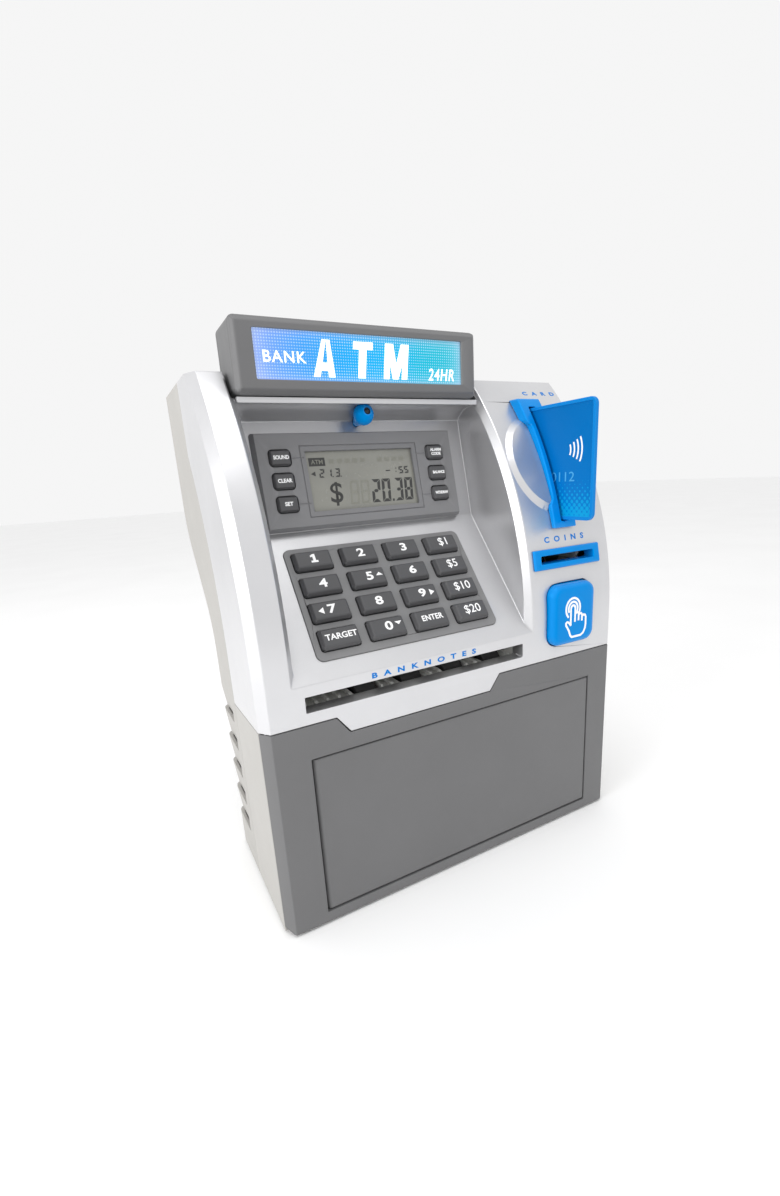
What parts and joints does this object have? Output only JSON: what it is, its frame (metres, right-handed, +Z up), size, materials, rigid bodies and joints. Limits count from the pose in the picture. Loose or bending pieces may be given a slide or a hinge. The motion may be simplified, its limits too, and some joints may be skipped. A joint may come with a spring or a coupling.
{
  "type": "toy savings bank",
  "caption": "Free-standing toy cash machine bank with lit sign, screen, key pad, note and coin slots, card slot, touch button and a hinged vault door.",
  "frame": {"origin": "on the floor under the middle of the whole bank, card included", "axes": "+X to the right as one faces it, +Y to the back, +Z up"},
  "size_m": [0.226, 0.155, 0.2972],
  "materials": {
    "silver_plastic": "satin metallic silver",
    "warm_grey_plastic": "fine texture",
    "dark_grey_plastic": "fine texture",
    "key_plastic": "soft matte",
    "blue_plastic": "glossy",
    "lens_plastic": "printed, glossy",
    "lcd": "smooth",
    "card_plastic": "printed, glossy",
    "white_plastic": "moulded",
    "circuit_board": "solder mask",
    "steel": "plated",
    "black_rubber": "matte",
    "silicone_mat": "matte",
    "black_plastic": "moulded",
    "brass": "turned"
  },
  "bodies": {
    "case": {"front_shell": "silver_plastic", "lower_fascia": "dark_grey_plastic", "base_frame": "warm_grey_plastic", "rear_shell": "warm_grey_plastic", "door_pins": "steel", "latch_coil": "black_plastic", "vault_box": "white_plastic", "battery_contacts": "steel", "speaker": "black_plastic", "feet": "black_rubber", "case_screws": "steel", "sign_housing": "dark_grey_plastic", "sign_lens": "lens_plastic", "sign_back": "dark_grey_plastic", "sign_board": "white_plastic", "eye_shell": "blue_plastic", "eye_lens": "black_plastic", "display_bezel": "dark_grey_plastic", "lcd_module": "lcd", "display_board": "circuit_board", "keypad_plate": "dark_grey_plastic", "keypad_mat": "silicone_mat", "main_board": "circuit_board", "card_bracket": "blue_plastic", "coin_frame": "blue_plastic", "coin_chute": "white_plastic", "note_guide": "white_plastic", "feed_motor": "steel"},
    "door": {"vault_door": "dark_grey_plastic"},
    "bolt": {"latch_bolt": "steel"},
    "card": {"card": "card_plastic"},
    "hatch": {"battery_door": "warm_grey_plastic"},
    "touch": {"touch_button": "blue_plastic"},
    "button_sound_cap": {"button_sound": "key_plastic"},
    "button_clear_cap": {"button_clear": "key_plastic"},
    "button_set_cap": {"button_set": "key_plastic"},
    "button_alarm_cap": {"button_alarm": "key_plastic"},
    "button_balance_cap": {"button_balance": "key_plastic"},
    "button_withdraw_cap": {"button_withdraw": "key_plastic"},
    "key_1_cap": {"key_1": "key_plastic"},
    "key_2_cap": {"key_2": "key_plastic"},
    "key_3_cap": {"key_3": "key_plastic"},
    "key_note_1_cap": {"key_note_1": "key_plastic"},
    "key_4_cap": {"key_4": "key_plastic"},
    "key_5_cap": {"key_5": "key_plastic"},
    "key_6_cap": {"key_6": "key_plastic"},
    "key_note_5_cap": {"key_note_5": "key_plastic"},
    "key_7_cap": {"key_7": "key_plastic"},
    "key_8_cap": {"key_8": "key_plastic"},
    "key_9_cap": {"key_9": "key_plastic"},
    "key_note_10_cap": {"key_note_10": "key_plastic"},
    "key_target_cap": {"key_target": "key_plastic"},
    "key_0_cap": {"key_0": "key_plastic"},
    "key_enter_cap": {"key_enter": "key_plastic"},
    "key_note_20_cap": {"key_note_20": "key_plastic"},
    "feed_drive": {"feed_shaft": "steel", "feed_rollers": "black_rubber", "feed_gear": "white_plastic"},
    "idler": {"idler_roller": "white_plastic"},
    "pinion": {"motor_pinion": "brass"}
  },
  "joints": [
    {"name": "door_hinge", "type": "hinge", "parent": "case", "child": "door", "pos_m": [-0.0874, -0.0588, 0.0515], "axis": [0, 0, -1], "range_deg": [0, 92]},
    {"name": "latch_slide", "type": "slide", "parent": "case", "child": "bolt", "axis": [-1, 0, 0], "range_m": [0, 0.006]},
    {"name": "card_slide", "type": "slide", "parent": "case", "child": "card", "axis": [0, -1, 0], "range_m": [0, 0.09]},
    {"name": "hatch_lift", "type": "slide", "parent": "case", "child": "hatch", "axis": [0, 1, 0], "range_m": [0, 0.03]},
    {"name": "touch_press", "type": "slide", "parent": "case", "child": "touch", "axis": [0, 1, 0], "range_m": [0, 0.0012], "stiffness_N_per_m": 400, "springref_m": -0.0006},
    {"name": "button_sound_press", "type": "slide", "parent": "case", "child": "button_sound_cap", "axis": [0, 0.9768, -0.2142], "range_m": [0, 0.0008], "stiffness_N_per_m": 150, "springref_m": -0.0008},
    {"name": "button_clear_press", "type": "slide", "parent": "case", "child": "button_clear_cap", "axis": [0, 0.9768, -0.2142], "range_m": [0, 0.0008], "stiffness_N_per_m": 150, "springref_m": -0.0008},
    {"name": "button_set_press", "type": "slide", "parent": "case", "child": "button_set_cap", "axis": [0, 0.9768, -0.2142], "range_m": [0, 0.0008], "stiffness_N_per_m": 150, "springref_m": -0.0008},
    {"name": "button_alarm_press", "type": "slide", "parent": "case", "child": "button_alarm_cap", "axis": [0, 0.9768, -0.2142], "range_m": [0, 0.0008], "stiffness_N_per_m": 150, "springref_m": -0.0008},
    {"name": "button_balance_press", "type": "slide", "parent": "case", "child": "button_balance_cap", "axis": [0, 0.9768, -0.2142], "range_m": [0, 0.0008], "stiffness_N_per_m": 150, "springref_m": -0.0008},
    {"name": "button_withdraw_press", "type": "slide", "parent": "case", "child": "button_withdraw_cap", "axis": [0, 0.9768, -0.2142], "range_m": [0, 0.0008], "stiffness_N_per_m": 150, "springref_m": -0.0008},
    {"name": "key_1_press", "type": "slide", "parent": "case", "child": "key_1_cap", "axis": [0, 0.7775, -0.6289], "range_m": [0, 0.001], "stiffness_N_per_m": 250, "springref_m": -0.0006},
    {"name": "key_2_press", "type": "slide", "parent": "case", "child": "key_2_cap", "axis": [0, 0.7775, -0.6289], "range_m": [0, 0.001], "stiffness_N_per_m": 250, "springref_m": -0.0006},
    {"name": "key_3_press", "type": "slide", "parent": "case", "child": "key_3_cap", "axis": [0, 0.7775, -0.6289], "range_m": [0, 0.001], "stiffness_N_per_m": 250, "springref_m": -0.0006},
    {"name": "key_note_1_press", "type": "slide", "parent": "case", "child": "key_note_1_cap", "axis": [0, 0.7775, -0.6289], "range_m": [0, 0.001], "stiffness_N_per_m": 250, "springref_m": -0.0006},
    {"name": "key_4_press", "type": "slide", "parent": "case", "child": "key_4_cap", "axis": [0, 0.7775, -0.6289], "range_m": [0, 0.001], "stiffness_N_per_m": 250, "springref_m": -0.0006},
    {"name": "key_5_press", "type": "slide", "parent": "case", "child": "key_5_cap", "axis": [0, 0.7775, -0.6289], "range_m": [0, 0.001], "stiffness_N_per_m": 250, "springref_m": -0.0006},
    {"name": "key_6_press", "type": "slide", "parent": "case", "child": "key_6_cap", "axis": [0, 0.7775, -0.6289], "range_m": [0, 0.001], "stiffness_N_per_m": 250, "springref_m": -0.0006},
    {"name": "key_note_5_press", "type": "slide", "parent": "case", "child": "key_note_5_cap", "axis": [0, 0.7775, -0.6289], "range_m": [0, 0.001], "stiffness_N_per_m": 250, "springref_m": -0.0006},
    {"name": "key_7_press", "type": "slide", "parent": "case", "child": "key_7_cap", "axis": [0, 0.7775, -0.6289], "range_m": [0, 0.001], "stiffness_N_per_m": 250, "springref_m": -0.0006},
    {"name": "key_8_press", "type": "slide", "parent": "case", "child": "key_8_cap", "axis": [0, 0.7775, -0.6289], "range_m": [0, 0.001], "stiffness_N_per_m": 250, "springref_m": -0.0006},
    {"name": "key_9_press", "type": "slide", "parent": "case", "child": "key_9_cap", "axis": [0, 0.7775, -0.6289], "range_m": [0, 0.001], "stiffness_N_per_m": 250, "springref_m": -0.0006},
    {"name": "key_note_10_press", "type": "slide", "parent": "case", "child": "key_note_10_cap", "axis": [0, 0.7775, -0.6289], "range_m": [0, 0.001], "stiffness_N_per_m": 250, "springref_m": -0.0006},
    {"name": "key_target_press", "type": "slide", "parent": "case", "child": "key_target_cap", "axis": [0, 0.7775, -0.6289], "range_m": [0, 0.001], "stiffness_N_per_m": 250, "springref_m": -0.0006},
    {"name": "key_0_press", "type": "slide", "parent": "case", "child": "key_0_cap", "axis": [0, 0.7775, -0.6289], "range_m": [0, 0.001], "stiffness_N_per_m": 250, "springref_m": -0.0006},
    {"name": "key_enter_press", "type": "slide", "parent": "case", "child": "key_enter_cap", "axis": [0, 0.7775, -0.6289], "range_m": [0, 0.001], "stiffness_N_per_m": 250, "springref_m": -0.0006},
    {"name": "key_note_20_press", "type": "slide", "parent": "case", "child": "key_note_20_cap", "axis": [0, 0.7775, -0.6289], "range_m": [0, 0.001], "stiffness_N_per_m": 250, "springref_m": -0.0006},
    {"name": "feed_spin", "type": "hinge", "parent": "case", "child": "feed_drive", "pos_m": [0, -0.0422, 0.1145], "axis": [1, 0, 0], "continuous": true},
    {"name": "idler_spin", "type": "hinge", "parent": "case", "child": "idler", "pos_m": [0, -0.0422, 0.1296], "axis": [1, 0, 0], "continuous": true},
    {"name": "pinion_spin", "type": "hinge", "parent": "case", "child": "pinion", "pos_m": [-0.0955, -0.03287, 0.10517], "axis": [1, 0, 0], "continuous": true}
  ],
  "couplings": [
    {"joint": "idler_spin", "follows": "feed_spin", "ratio": -1.0417},
    {"joint": "pinion_spin", "follows": "feed_spin", "ratio": -3}
  ]
}
